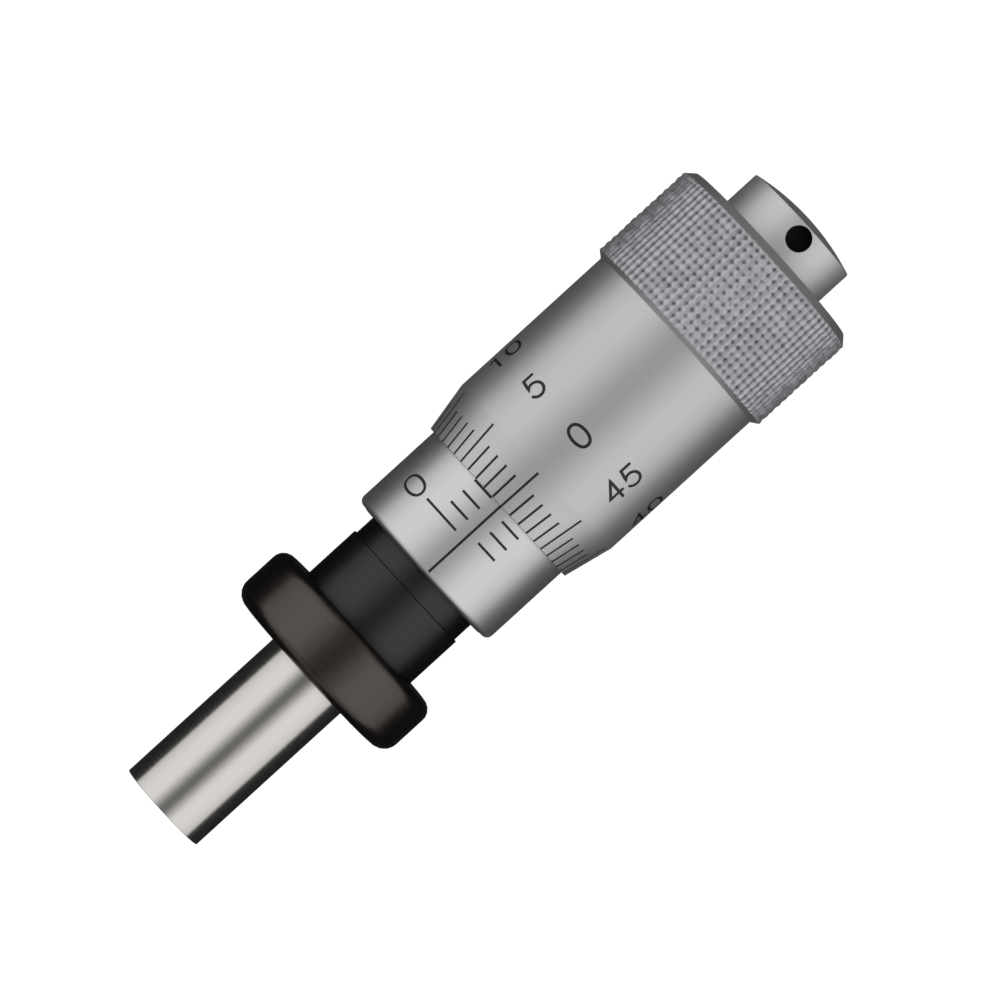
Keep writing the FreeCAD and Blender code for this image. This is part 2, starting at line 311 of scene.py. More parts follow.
def outline(corners):
    """Stretches (start, end, start facing, end facing) round a section with rounded corners."""
    places = [np.array(corner[:2], float) for corner in corners]
    stops = []
    for i, corner in enumerate(corners):
        here = places[i]
        before = facing(places[i - 1], here)
        after = facing(here, places[(i + 1) % len(corners)])
        if len(corner) == 2:
            stops.append((here, before, after))
            continue
        outer = 1 if before[0] * after[1] - before[1] * after[0] < 0 else -1
        bisector = (before + after) / (1 + before @ after)
        centre = here - outer * corner[2] * bisector
        for share in np.linspace(0, 1, FILLET_STEPS + 1):
            mixed = unit(before * (1 - share) + after * share)
            stops.append((centre + outer * corner[2] * mixed, mixed, mixed))
    following = stops[1:] + stops[:1]
    return [(a[0], b[0], a[2], b[1]) for a, b in zip(stops, following)
            if a[0][1] > ON_AXIS or b[0][1] > ON_AXIS]


print("a fillet is drawn in", FILLET_STEPS, "steps")

# %% Spin an outline round X
COLUMNS = 288


def turned(name, stretches, material):
    """Closed object turned round X from the stretches of its outline."""
    shape = bmesh.new()
    rings = {}
    angles = [2 * math.pi * i / COLUMNS for i in range(COLUMNS)]

    def ring(point):
        x, radius = point
        key = (round(x, 5), round(radius, 5))
        if key not in rings:
            if radius < ON_AXIS:
                rings[key] = [shape.verts.new((x, 0, 0))] * COLUMNS
            else:
                rings[key] = [shape.verts.new((x, radius * math.sin(a), radius * math.cos(a)))
                              for a in angles]
        return rings[key]

    for start, end, *_ in stretches:
        near, far = ring(start), ring(end)
        for i in range(COLUMNS):
            j = (i + 1) % COLUMNS
            shape.faces.new(list(dict.fromkeys([near[i], far[i], far[j], near[j]])))
    return in_scene(name, plain_mesh(name, shape), material)


print("a facet of a 14 mm drum is", round(math.pi * 14 / COLUMNS, 3), "mm wide")

# %% [markdown]
# ## Cutting
# Threads, knurls, engraving, holes and slots are all cut out of the turned blank, as in the
# workshop. Blender's exact Boolean does it, and it hands the cutter's material to the faces
# that it leaves. So a cutter that wears black paint leaves a line filled with black paint.
# The Boolean needs a closed cutter whose faces look outwards, so both are seen to first.

# %% Cut one object out of another
def settled(piece):
    """Plain mesh of an object with its modifiers worked in."""
    graph = bpy.context.evaluated_depsgraph_get()
    return bpy.data.meshes.new_from_object(piece.evaluated_get(graph))


def cut(blank, cutter, crossing=False):
    """Take a cutter out of the blank. Crossing says that parts of the cutter overlap."""
    shape = bmesh.new()
    shape.from_mesh(cutter.data)
    bmesh.ops.recalc_face_normals(shape, faces=shape.faces)
    open_edges = sum(not edge.is_manifold for edge in shape.edges)
    shape.to_mesh(cutter.data)
    shape.free()
    step = blank.modifiers.new("cut", "BOOLEAN")
    step.operation = "DIFFERENCE"
    step.solver = "EXACT"
    step.material_mode = "TRANSFER"
    step.use_self = crossing
    step.object = cutter
    before = len(blank.data.polygons)
    blank.data = settled(blank)
    blank.modifiers.clear()
    print(f"{blank.name}: {before} faces, {len(blank.data.polygons)} after the cut by"
          f" {cutter.name}, which has {open_edges} open edges")
    bpy.data.objects.remove(cutter)


# %% [markdown]
# ## Shading, and handing a piece over
# After the cuts, a face that still lies on the outline takes the exact direction that the
# outline faces there. All others, such as thread flanks, knurl facets and the walls of
# holes, are smooth along gentle bends and sharp over steep ones. Cuts also leave crumbs,
# slivers far thinner than a micrometre, which are merged first. Then the piece goes from
# millimetres to metres, rides on its body and stands for its CAD node.

# %% Exact shading from the outline
ON_OUTLINE = 0.004
SAME_WAY = 0.985
END_SLACK = 0.01
SHARP_ANGLE = math.radians(24)


def shade(mesh, stretches):
    """Give every corner its direction, from the outline where the face lies on it."""
    mesh.shade_smooth()
    mesh.set_sharp_from_angle(angle=SHARP_ANGLE)
    directions = np.array([n.vector for n in mesh.corner_normals])
    spots = np.array([v.co for v in mesh.vertices])
    places = np.column_stack([spots[:, 0], np.hypot(spots[:, 1], spots[:, 2])])
    starts = np.array([s[0] for s in stretches])
    steps = np.array([s[1] for s in stretches]) - starts
    lengths = np.hypot(*steps.T)
    faces_out = np.column_stack([-steps[:, 1], steps[:, 0]]) / lengths[:, None]
    found = 0
    for face in mesh.polygons:
        corners = list(face.vertices)
        from_starts = places[corners].mean(0) - starts
        across = spots[corners].mean(0)[1:]
        radial = np.hypot(*across)
        tilt = np.array([face.normal.x, 0.0])
        if radial > ON_AXIS:
            tilt[1] = (face.normal.y * across[0] + face.normal.z * across[1]) / radial
        apart = np.abs((from_starts * faces_out).sum(1))
        share = (from_starts * steps).sum(1) / lengths ** 2
        fits = ((apart < ON_OUTLINE) & (abs(share - 0.5) < 0.5 + END_SLACK)
                & (faces_out @ tilt > SAME_WAY))
        if not fits.any():
            continue
        k = int(np.argmin(np.where(fits, apart, np.inf)))
        found += 1
        for loop, vertex in zip(face.loop_indices, face.vertices):
            t = np.clip((places[vertex] - starts[k]) @ steps[k] / lengths[k] ** 2, 0, 1)
            facing_here = stretches[k][2] * (1 - t) + stretches[k][3] * t
            radius = places[vertex][1]
            side = spots[vertex][1:] / radius if radius > ON_AXIS else across / radial
            direction = np.array([facing_here[0], *(facing_here[1] * side)])
            directions[loop] = direction / np.linalg.norm(direction)
    mesh.normals_split_custom_set(directions.tolist())
    return found


print("a bend is sharp above", round(math.degrees(SHARP_ANGLE)), "degrees")

# %% Sweep up the crumbs and hand a piece over
CRUMB = 0.0002


def sweep(mesh):
    """Merge the crumbs of a closed mesh, unless that would open it."""
    shape = bmesh.new()
    shape.from_mesh(mesh)
    bmesh.ops.remove_doubles(shape, verts=shape.verts, dist=CRUMB)
    bmesh.ops.dissolve_degenerate(shape, edges=shape.edges, dist=CRUMB)
    if all(edge.is_manifold for edge in shape.edges):
        shape.to_mesh(mesh)
    shape.free()


def hand_over(piece, stretches, body, node):
    """Shade a finished piece, make it metres and put it in the place of its CAD node."""
    sweep(piece.data)
    exact = shade(piece.data, stretches)
    piece.data.transform(Matrix.Scale(MM, 4))
    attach(piece, body)
    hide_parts(node)
    print(f"{piece.name}: {len(piece.data.polygons)} faces, {exact} exactly on the outline")


# %% [markdown]
# ## Laying out on the flat
# An engraver lays a scale out flat and wraps it round the work, and so do the trees below.
# On the flat sheet, x runs along the axis, y runs round the work and z is the height above
# its surface. One shared group wraps the sheet. It takes the radius at which y is true, and
# a base radius with a slope, because the thimble's edge is a cone.

# %% Trees with named inputs
SOCKETS = {int: "NodeSocketInt", float: "NodeSocketFloat", tuple: "NodeSocketVector",
           bpy.types.Material: "NodeSocketMaterial"}


def new_tree(name, defaults):
    """Geometry Nodes tree with named inputs, and its input and output nodes."""
    tree = bpy.data.node_groups.new(name, "GeometryNodeTree")
    tree.interface.new_socket("Geometry", in_out="INPUT", socket_type="NodeSocketGeometry")
    for label, value in defaults.items():
        socket = tree.interface.new_socket(label, in_out="INPUT", socket_type=SOCKETS[type(value)])
        if not isinstance(value, bpy.types.Material):
            socket.default_value = value
    tree.interface.new_socket("Geometry", in_out="OUTPUT", socket_type="NodeSocketGeometry")
    return tree, tree.nodes.new("NodeGroupInput").outputs, tree.nodes.new("NodeGroupOutput")


def end_tree(tree, made, shape, material):
    """Realize Instances and Set Material, in which each tree ends."""
    solid = add(tree, "GeometryNodeRealizeInstances", [shape])
    dressed = add(tree, "GeometryNodeSetMaterial", {"Geometry": solid, "Material": material})
    fill(tree, made, [dressed])
    print(f"{tree.name}: {len(tree.nodes)} nodes")
    return tree


def grow(tree, flat_mesh=None, **values):
    """Object made by a tree, with its named inputs set, as a plain mesh without the modifier."""
    piece = in_scene(tree.name, flat_mesh or bpy.data.meshes.new(tree.name))
    modifier = piece.modifiers.new(tree.name, "NODES")
    modifier.node_group = tree
    for label, value in values.items():
        socket = tree.interface.items_tree[label.replace("_", " ").capitalize()]
        modifier[socket.identifier] = value
    piece.data = settled(piece)
    piece.modifiers.clear()
    return piece


print("kinds of named input:", [kind.__name__ for kind in SOCKETS])

# %% The group that wraps the sheet
# An angle comes from y, and the height z is added to the radius.
tree, given, made = new_tree("wrap round the axis", {
    "Layout radius": 6.0, "Base radius": 6.0, "Slope": 0.0, "Slope start": 0.0})
flat = add(tree, "ShaderNodeSeparateXYZ", [add(tree, "GeometryNodeInputPosition")]).outputs
angle = add(tree, MATH, [flat["Y"], given["Layout radius"]], operation="DIVIDE")
along = add(tree, MATH, [flat["X"], given["Slope start"]], operation="SUBTRACT")
base = add(tree, MATH, [along, given["Slope"], given["Base radius"]], operation="MULTIPLY_ADD")
radius = add(tree, MATH, [base, flat["Z"]], operation="ADD")
y, z = (add(tree, MATH, [radius, add(tree, MATH, [angle], operation=wave)], operation="MULTIPLY")
        for wave in ("SINE", "COSINE"))
wrapped = add(tree, "ShaderNodeCombineXYZ", [flat["X"], y, z])
fill(tree, made, [add(tree, "GeometryNodeSetPosition", {
    "Geometry": given["Geometry"], "Position": wrapped})])
wrap_group = tree
print("wrap group:", len(wrap_group.nodes), "nodes")

# %% [markdown]
# ## Rows of engraved lines
# Both scales are rows of like lines, with every fifth or so longer. The tree puts a small
# block on each point of a row, stretches the long ones, and wraps the row. Blocks stand a
# little proud of the surface and reach a little under it, so that cutting them away leaves
# a shallow groove with a flat, painted floor.

# %% The tree for a row of lines
LINE_WIDTH = 0.17
LINE_DEPTH = 0.03
PROUD = 0.15
tree, given, made = new_tree("engraved lines", {
    "Count": 10, "Start": (0.0, 0.0, 0.0), "Step": (1.0, 0.0, 0.0), "Grow": (1.0, 0.0, 0.0),
    "Short line": (1.0, 1.0, 1.0), "Long line": (1.0, 1.0, 1.0), "Long every": 5,
    "Depth": LINE_DEPTH, "Layout radius": 6.0, "Base radius": 6.0, "Slope": 0.0,
    "Slope start": 0.0, "Paint": paint})
row = add(tree, "GeometryNodeMeshLine", {
    "Count": given["Count"], "Start Location": given["Start"], "Offset": given["Step"]})
block = add(tree, "GeometryNodeMeshCube", {
    "Size": (1.0, 1.0, 1.0), "Vertices X": 2, "Vertices Y": 9, "Vertices Z": 2})
half = add(tree, VECTOR_MATH, {0: given["Grow"], "Scale": 0.5}, operation="SCALE")
anchored = add(tree, "GeometryNodeTransform", {"Geometry": block, "Translation": half})
number = add(tree, "GeometryNodeInputIndex")
rest = add(tree, MATH, [number, given["Long every"]], operation="FLOORED_MODULO")
is_long = add(tree, MATH, [rest, 0.5], operation="LESS_THAN")
size = add(tree, "GeometryNodeSwitch", {
    "Switch": is_long, "False": given["Short line"], "True": given["Long line"]},
    input_type="VECTOR")
lines = add(tree, "GeometryNodeInstanceOnPoints", {
    "Points": row, "Instance": anchored, "Scale": size})
blocks = add(tree, "GeometryNodeRealizeInstances", [lines])
middle = add(tree, MATH, [given["Depth"], -0.5, 0.5 * PROUD], operation="MULTIPLY_ADD")
up = add(tree, "ShaderNodeCombineXYZ", {"Z": middle})
lifted = add(tree, "GeometryNodeSetPosition", {"Geometry": blocks, "Offset": up})
wrapped = add(tree, "GeometryNodeGroup", [
    lifted, given["Layout radius"], given["Base radius"], given["Slope"],
    given["Slope start"]], node_tree=wrap_group)
lines_tree = end_tree(tree, made, wrapped, given["Paint"])
BLOCK_HEIGHT = PROUD + LINE_DEPTH
print("blocks of the lines are", BLOCK_HEIGHT, "mm high")

# %% [markdown]
# ## Engraved numbers
# The numbers are cut by a small round tool that follows a single stroke, so each digit is a
# line of constant width with round ends. A digit is drawn here in a box one high and 0.64
# wide, out of straight runs and arcs, and then thickened into a closed ribbon. A font would
# be less work, but its strokes swell and its ends are square.

# %% Strokes of the digits
DIGIT_ASPECT = 0.64
DIGIT_GAP = 0.2


def arc(x, y, wide, high, start, end, steps=14):
    """Points on an ellipse round (x, y), from one angle in degrees to another."""
    angles = np.radians(np.linspace(start, end, steps))
    return [(x + wide * math.cos(a), y + high * math.sin(a)) for a in angles]


# The stroke of each digit that the dials use. One that ends where it began is closed.
DIGITS = {
    "0": [(0.32 + 0.32 * math.copysign(abs(math.cos(a)) ** 0.85, math.cos(a)),
           0.5 + 0.5 * math.copysign(abs(math.sin(a)) ** 0.95, math.sin(a)))
          for a in np.radians(np.linspace(0, 360, 41))],
    "1": [(0.14, 0.80), (0.38, 1.0), (0.38, 0.0)],
    "2": arc(0.32, 0.69, 0.31, 0.31, 165, -38) + [(0.02, 0.0), (0.64, 0.0)],
    "3": (arc(0.30, 0.755, 0.27, 0.245, 150, -90)
          + arc(0.30, 0.255, 0.33, 0.255, 86, -155)),
    "4": [(0.47, 0.0), (0.47, 1.0), (0.0, 0.30), (0.64, 0.30)],
    "5": [(0.58, 1.0), (0.14, 1.0), (0.06, 0.52)] + arc(0.30, 0.33, 0.33, 0.33, 118, -150)}
print("points in each stroke:", {digit: len(points) for digit, points in DIGITS.items()})

# %% Thicken a stroke into a closed ribbon
STROKE_PIECE = 0.2
END_STEPS = 4
MITRE_LIMIT = 2.2
CLOSED_WITHIN = 1e-6


def divided(points):
    """Points of a stroke with its long runs divided, so that they can bend round the work."""
    fine = [points[0]]
    for start, end in zip(points, points[1:]):
        count = max(1, math.ceil(math.dist(start, end) / STROKE_PIECE))
        fine += [tuple(place) for place in np.linspace(start, end, count + 1)[1:]]
    return fine


def stroke_ribs(points, width):
    """Pairs of left and right points along a stroke, mitred at bends, rounded at open ends."""
    closed = math.dist(points[0], points[-1]) < CLOSED_WITHIN
    places = [np.array(p) for p in (points[:-1] if closed else points)]
    ahead = [unit(b - a) for a, b in zip(places, places[1:] + places[:1])]
    behind = ahead[-1:] + ahead[:-1]
    if not closed:
        behind[0], ahead[-1] = ahead[0], behind[-1]
    ribs = []
    for here, came, goes in zip(places, behind, ahead):
        normal = unit(left_of(came + goes))
        side = normal * width / 2 / max(normal @ left_of(came), 1 / MITRE_LIMIT)
        ribs.append((here + side, here - side))
    if closed:
        return ribs, True
    for end, along in ((0, -ahead[0] * width / 2), (-1, behind[-1] * width / 2)):
        here, side = places[end], ribs[end][0] - places[end]
        rounds = [(here + side * math.cos(a) + along * math.sin(a),
                   here - side * math.cos(a) + along * math.sin(a))
                  for a in np.linspace(0, math.pi / 2, END_STEPS + 1)[1:-1]]
        ribs = ribs + rounds if end else rounds[::-1] + ribs
    return ribs, False


def add_ribbon(shape, points, width):
    """Closed ribbon along a stroke, from under the surface to above it."""
    ribs, closed = stroke_ribs(divided(points), width)
    low_left, low_right, top_left, top_right = (
        [shape.verts.new((x, y, height)) for x, y in side]
        for height in (-LINE_DEPTH, PROUD) for side in zip(*ribs))
    for i in range(len(ribs) if closed else len(ribs) - 1):
        j = (i + 1) % len(ribs)
        for one, other in ((top_right, top_left), (low_left, low_right),
                           (top_left, low_left), (low_right, top_right)):
            shape.faces.new((one[i], one[j], other[j], other[i]))
    if not closed:
        for i in (0, -1):
            shape.faces.new((top_left[i], low_left[i], low_right[i], top_right[i]))


def flat_numbers(numbers, height, stroke):
    """Flat mesh of ribbons for numbers, given as (text, middle x, middle y), tops towards +Y."""
    shape = bmesh.new()
    height -= stroke
    width = DIGIT_ASPECT * height
    pitch = width + DIGIT_GAP * height + stroke / 2
    for text, x, y in numbers:
        left = x - (pitch * (len(text) - 1) + width) / 2
        for place, digit in enumerate(text):
            moved = [(left + place * pitch + px * height, y + (py - 0.5) * height)
                     for px, py in DIGITS[digit]]
            add_ribbon(shape, moved, stroke)
    return plain_mesh("numbers", shape)


print("a 4 is thickened along", len(divided(DIGITS["4"])), "points")

# %% The tree that wraps and paints the numbers
tree, given, made = new_tree("engraved numbers", {"Radius": 6.0, "Paint": paint})
wrapped = add(tree, "GeometryNodeGroup", [
    given["Geometry"], given["Radius"], given["Radius"]], node_tree=wrap_group)
numbers_tree = end_tree(tree, made, wrapped, given["Paint"])

# %% [markdown]
# ## Knurl
# Two toothed wheels roll the knurl into the turned band. What the eye sees is row upon row of
# small dark pits between blunt tips, 0.55 mm apart, and nothing is drawn coarser than that.
# Modelled one by one, 1,300 teeth would be endless work. So one tooth is drawn as a patch of
# 16 faces, a cosine hill with its pits at the corners. The tree sets it on a grid, wraps the
# sheet and welds it, and noise with a fixed seed shifts the points a little, because rolled
# metal never flows evenly. Pushed outwards, the sheet becomes a thick shell, and cutting the
# shell from the blank leaves the knurl.

# %% Close a wrapped sheet into a cutter
WELD = 0.002


def thickened(tree, skin, thickness):
    """Closed shell between a wrapped skin and its copy, pushed away from the axis."""
    place = add(tree, "ShaderNodeSeparateXYZ", [add(tree, "GeometryNodeInputPosition")]).outputs
    across = add(tree, "ShaderNodeCombineXYZ", {"Y": place["Y"], "Z": place["Z"]})
    outwards = add(tree, VECTOR_MATH, [across], operation="NORMALIZE")
    pushed = add(tree, "GeometryNodeExtrudeMesh", {
        "Mesh": skin, "Offset": outwards, "Offset Scale": thickness, "Individual": False})
    inner = add(tree, "GeometryNodeFlipFaces", [skin])
    both = add(tree, "GeometryNodeJoinGeometry", [pushed])
    fill(tree, both, [inner])
    return add(tree, "GeometryNodeMergeByDistance", {"Geometry": both, "Distance": WELD})


# %% The knurl tree
KNURL_WELD = 0.01
UNEVEN_PER_MM = 2.2
tree, given, made = new_tree("knurl", {
    "Around": 86, "Rows": 17, "Period": 0.5, "Start": 0.0, "Tip radius": 7.5, "Depth": 0.2,
    "Bluntness": 1.6, "Unevenness": 0.12, "Seed": 3, "Cover": 0.8, "Finish": knurl_chrome_shaded_pits})
patch = add(tree, "GeometryNodeMeshGrid", [1.0, 1.0, 5, 5])
place = add(tree, "GeometryNodeInputPosition")
phase = add(tree, VECTOR_MATH, {0: place, "Scale": 2 * math.pi}, operation="SCALE")
waves = add(tree, VECTOR_MATH, [phase], operation="COSINE")
low = add(tree, VECTOR_MATH, [waves, (-0.25, -0.25, 0.5)], operation="DOT_PRODUCT")
blunt = add(tree, MATH, [low.outputs["Value"], given["Bluntness"]], operation="POWER")
fall = add(tree, MATH, [blunt, -1.0], operation="MULTIPLY")
down = add(tree, "ShaderNodeCombineXYZ", {"Z": fall})
tooth = add(tree, "GeometryNodeSetPosition", {"Geometry": patch, "Offset": down})
sized = add(tree, "ShaderNodeCombineXYZ", [given["Period"], given["Period"], given["Depth"]])
counts = add(tree, "ShaderNodeCombineXYZ", [given["Rows"], given["Around"]])
sheet_size = add(tree, VECTOR_MATH, [counts, sized], operation="MULTIPLY")
span = add(tree, VECTOR_MATH, [sheet_size, sized], operation="SUBTRACT")
across = add(tree, "ShaderNodeSeparateXYZ", [span]).outputs
points = add(tree, "GeometryNodeMeshGrid", [*across[:2], given["Rows"], given["Around"]])
teeth = add(tree, "GeometryNodeInstanceOnPoints", {
    "Points": points, "Instance": tooth, "Scale": sized})
sheet = add(tree, "GeometryNodeRealizeInstances", [teeth])
length, girth = add(tree, "ShaderNodeSeparateXYZ", [sheet_size]).outputs[:2]
middle = add(tree, MATH, [length, 0.5, given["Start"]], operation="MULTIPLY_ADD")
along = add(tree, "ShaderNodeCombineXYZ", {"X": middle})
placed = add(tree, "GeometryNodeSetPosition", {"Geometry": sheet, "Offset": along})
radius = add(tree, MATH, [girth, 2 * math.pi], operation="DIVIDE")
wrapped = add(tree, "GeometryNodeGroup", [placed, radius, given["Tip radius"]],
              node_tree=wrap_group)
skin = add(tree, "GeometryNodeMergeByDistance", {"Geometry": wrapped, "Distance": KNURL_WELD})
noise = add(tree, "ShaderNodeTexNoise", {
    "Vector": place, "W": given["Seed"], "Scale": UNEVEN_PER_MM, "Detail": 1.0},
    noise_dimensions="4D").outputs["Color"]
either_way = add(tree, VECTOR_MATH, [noise, (0.5, 0.5, 0.5)], operation="SUBTRACT")
shift = add(tree, VECTOR_MATH, {0: either_way, "Scale": given["Unevenness"]}, operation="SCALE")
uneven = add(tree, "GeometryNodeSetPosition", {"Geometry": skin, "Offset": shift})
knurl_tree = end_tree(tree, made, thickened(tree, uneven, given["Cover"]), given["Finish"])

# %% [markdown]
# ## Threads
# A fine thread is one ridge that winds round the work. The tree takes a grid whose rows are
# the four corner lines of the thread's profile, whose crest and root are an eighth of a pitch
# wide. It leads every row along by one pitch for each turn, and welds the end of a row to the
# start of the one four further on. Closed with the same shell as the knurl, it cuts a real
# helix, run-out and all.

# %% The thread tree
PITCH = 0.5
THREAD_DEPTH = 0.27
THREAD_WELD = 0.005
tree, given, made = new_tree("thread", {
    "Turns": 8, "Columns": 96, "Pitch": PITCH, "Crest radius": 4.5,
    "Depth": THREAD_DEPTH, "Start": 0.0, "Cover": 0.5, "Finish": stem_oxide})
lines = add(tree, MATH, [given["Turns"], 4], operation="MULTIPLY")
line_ends = add(tree, MATH, [lines, 1], operation="ADD")
column_ends = add(tree, MATH, [given["Columns"], 1], operation="ADD")
sheet = add(tree, "GeometryNodeMeshGrid", [lines, 1.0, line_ends, column_ends])
flat = add(tree, "ShaderNodeSeparateXYZ", [add(tree, "GeometryNodeInputPosition")]).outputs
counted = add(tree, MATH, [lines, 0.5, flat["X"]], operation="MULTIPLY_ADD")
row = add(tree, MATH, [counted], operation="ROUND")
turned_by = add(tree, MATH, [flat["Y"], 0.5], operation="ADD")
odd = add(tree, MATH, [row, 2], operation="FLOORED_MODULO")
nearer = add(tree, MATH, [odd, -0.125, turned_by], operation="MULTIPLY_ADD")
pitches = add(tree, MATH, [row, 0.25, nearer], operation="MULTIPLY_ADD")
along = add(tree, MATH, [pitches, given["Pitch"], given["Start"]], operation="MULTIPLY_ADD")
of_four = add(tree, MATH, [row, 4], operation="FLOORED_MODULO")
at_root = add(tree, MATH, [of_four, 1.5], operation="GREATER_THAN")
drop = add(tree, MATH, [at_root, given["Depth"]], operation="MULTIPLY")
height = add(tree, MATH, [drop, -1.0], operation="MULTIPLY")
angle = add(tree, MATH, [turned_by, 2 * math.pi], operation="MULTIPLY")
laid = add(tree, "ShaderNodeCombineXYZ", [along, angle, height])
placed = add(tree, "GeometryNodeSetPosition", {"Geometry": sheet, "Position": laid})
wrapped = add(tree, "GeometryNodeGroup", [placed, 1.0, given["Crest radius"]],
              node_tree=wrap_group)
skin = add(tree, "GeometryNodeMergeByDistance", {"Geometry": wrapped, "Distance": THREAD_WELD})
thread_tree = end_tree(tree, made, thickened(tree, skin, given["Cover"]), given["Finish"])

# %% [markdown]
# ## Spindle
# The spindle is hardened, ground and lapped to a mirror-like grey. Only its nose shows. Inside
# the head it carries the fine screw, an undercut, the taper that the thimble sits on and the
# tapped hole for the cap.

# %% Turn the spindle
EDGE_ROUND = 0.05
RUN_IN = 0.25
NOSE_RADIUS = 3.175
SCREW_FRONT = 4.0
SCREW_CHAMFER = 0.3
UNDERCUT_RADIUS = 3.1
UNDERCUT_LENGTH = 0.45
TAPER_FRONT_RADIUS = 3.45
TAPER_REAR_RADIUS = 3.13
TAPER_LENGTH = 3.2
CAP_HOLE_RADIUS = 2.03
CAP_HOLE_END = 23.44
DRILL_POINT = 1.1
tip_x, spindle_rear, screw_radius = reach("spindle")
taper_front = spindle_rear - TAPER_LENGTH
screw_rear = taper_front - UNDERCUT_LENGTH
spindle_line = outline([
    (tip_x, 0), (tip_x, NOSE_RADIUS, EDGE_ROUND), (SCREW_FRONT - SCREW_CHAMFER, NOSE_RADIUS),
    (SCREW_FRONT, screw_radius), (screw_rear, screw_radius),
    (screw_rear, UNDERCUT_RADIUS), (taper_front, UNDERCUT_RADIUS),
    (taper_front, TAPER_FRONT_RADIUS), (spindle_rear, TAPER_REAR_RADIUS, EDGE_ROUND),
    (spindle_rear, CAP_HOLE_RADIUS, EDGE_ROUND), (CAP_HOLE_END, CAP_HOLE_RADIUS),
    (CAP_HOLE_END - DRILL_POINT, 0)])
spindle = turned("spindle_turned", spindle_line, ground_steel)
# It is out of sight, so it gets fewer columns than the other threads.
cut(spindle, grow(
    thread_tree, turns=int((screw_rear - SCREW_FRONT) / PITCH) - 1, columns=72,
    crest_radius=screw_radius, start=SCREW_FRONT - RUN_IN, finish=ground_steel))
hand_over(spindle, spindle_line, "spindle", "spindle")

# %% [markdown]
# ## Stem
# The black stem and the body behind it are one piece, the inner sleeve. In front is the thread
# for the clamp nut, then the plain ground length that a bracket holds, a relief beside the
# seat, and behind the seat the body that carries the outer sleeve. Its rear end is split by
# three saw cuts, so that the adjusting nut can close it onto the screw.

# %% Turn and thread the stem
STEM_RADIUS = 4.75
NUT_THREAD_RADIUS = 4.5
THREAD_CHAMFER = 0.4
STEM_TURNS = 6
PLAIN_FRONT = -5.55
RELIEF_FRONT = -1.42
RELIEF_RADIUS = 4.59
SEAT_STEP = 0.1
BODY_RADIUS = 5.30
GUIDE_RADIUS = 3.195
GUIDE_ROUND = 0.15
GUIDE_REAR = 0.5
CLEARING_RADIUS = 3.65
SCREW_BORE = 3.53
SCREW_BORE_FRONT = 13.0
SPLIT_RADII = (4.60, 4.45)
stem_front, stem_rear, _ = reach("inner_sleeve")
sleeve_front, sleeve_rear, sleeve_radius = reach("outer_sleeve")
stem_line = outline([
    (stem_front, GUIDE_RADIUS, GUIDE_ROUND), (stem_front, NUT_THREAD_RADIUS - THREAD_CHAMFER),
    (stem_front + THREAD_CHAMFER, NUT_THREAD_RADIUS), (PLAIN_FRONT, NUT_THREAD_RADIUS),
    (PLAIN_FRONT, STEM_RADIUS, EDGE_ROUND), (RELIEF_FRONT, STEM_RADIUS, EDGE_ROUND),
    (RELIEF_FRONT, RELIEF_RADIUS, EDGE_ROUND), (SEAT_STEP, RELIEF_RADIUS, EDGE_ROUND),
    (0, STEM_RADIUS + SEAT_STEP), (0, BODY_RADIUS, EDGE_ROUND), (sleeve_rear, BODY_RADIUS),
    (sleeve_rear, SPLIT_RADII[0]), (stem_rear, SPLIT_RADII[1], EDGE_ROUND),
    (stem_rear, SCREW_BORE), (SCREW_BORE_FRONT, SCREW_BORE),
    (SCREW_BORE_FRONT, CLEARING_RADIUS), (GUIDE_REAR, CLEARING_RADIUS),
    (GUIDE_REAR, GUIDE_RADIUS)])
stem = turned("stem_turned", stem_line, stem_oxide)
cut(stem, grow(
    thread_tree, turns=STEM_TURNS, crest_radius=NUT_THREAD_RADIUS,
    start=stem_front - RUN_IN, finish=stem_oxide))

# %% Split its rear end
SAW_FRONT = 12.6
SAW_WIDTH = 0.6
SAW_LOW = 1.0
PAST_ALL = 8.0


def prisms(name, rim, low, high, turns, material):
    """Cutter with an (x, y) rim, from one z to another, at each of the turns in degrees."""
    shape = bmesh.new()
    for turn in turns:
        turned_by = Matrix.Rotation(math.radians(turn), 3, "X")
        bottom, top = ([shape.verts.new(turned_by @ Vector((x, y, z))) for x, y in rim]
                       for z in (low, high))
        shape.faces.new(bottom)
        shape.faces.new(top[::-1])
        for i in range(len(rim)):
            shape.faces.new((bottom[i - 1], bottom[i], top[i], top[i - 1]))
    return in_scene(name, plain_mesh(name, shape), material)


half_saw = SAW_WIDTH / 2
saw_rim = [(stem_rear + 1, -half_saw), *arc(SAW_FRONT, 0, half_saw, half_saw, -90, -270, 9),
           (stem_rear + 1, half_saw)]
cut(stem, prisms("saw cuts", saw_rim, SAW_LOW, PAST_ALL, (0, 120, 240), stem_oxide))
hand_over(stem, stem_line, "stem", "inner_sleeve")

# %% [markdown]
# ## Adjusting nut
# A small ring nut with two notches closes the split end onto the screw. It is hidden inside
# the thimble, so its CAD shape is kept, and it only gets its finish.

# %% Finish the adjusting nut
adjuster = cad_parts["adjusting_nut"]
adjuster.data.materials.clear()
adjuster.data.materials.append(turned_steel)
print(adjuster.name, "wears", turned_steel.name)

# %% [markdown]
# ## Clamp nut
# A plain round nut with a softly rounded rim, blackened after turning. It draws the bracket
# against the seat. Its bore has the same thread as the stem, cut from the inside.

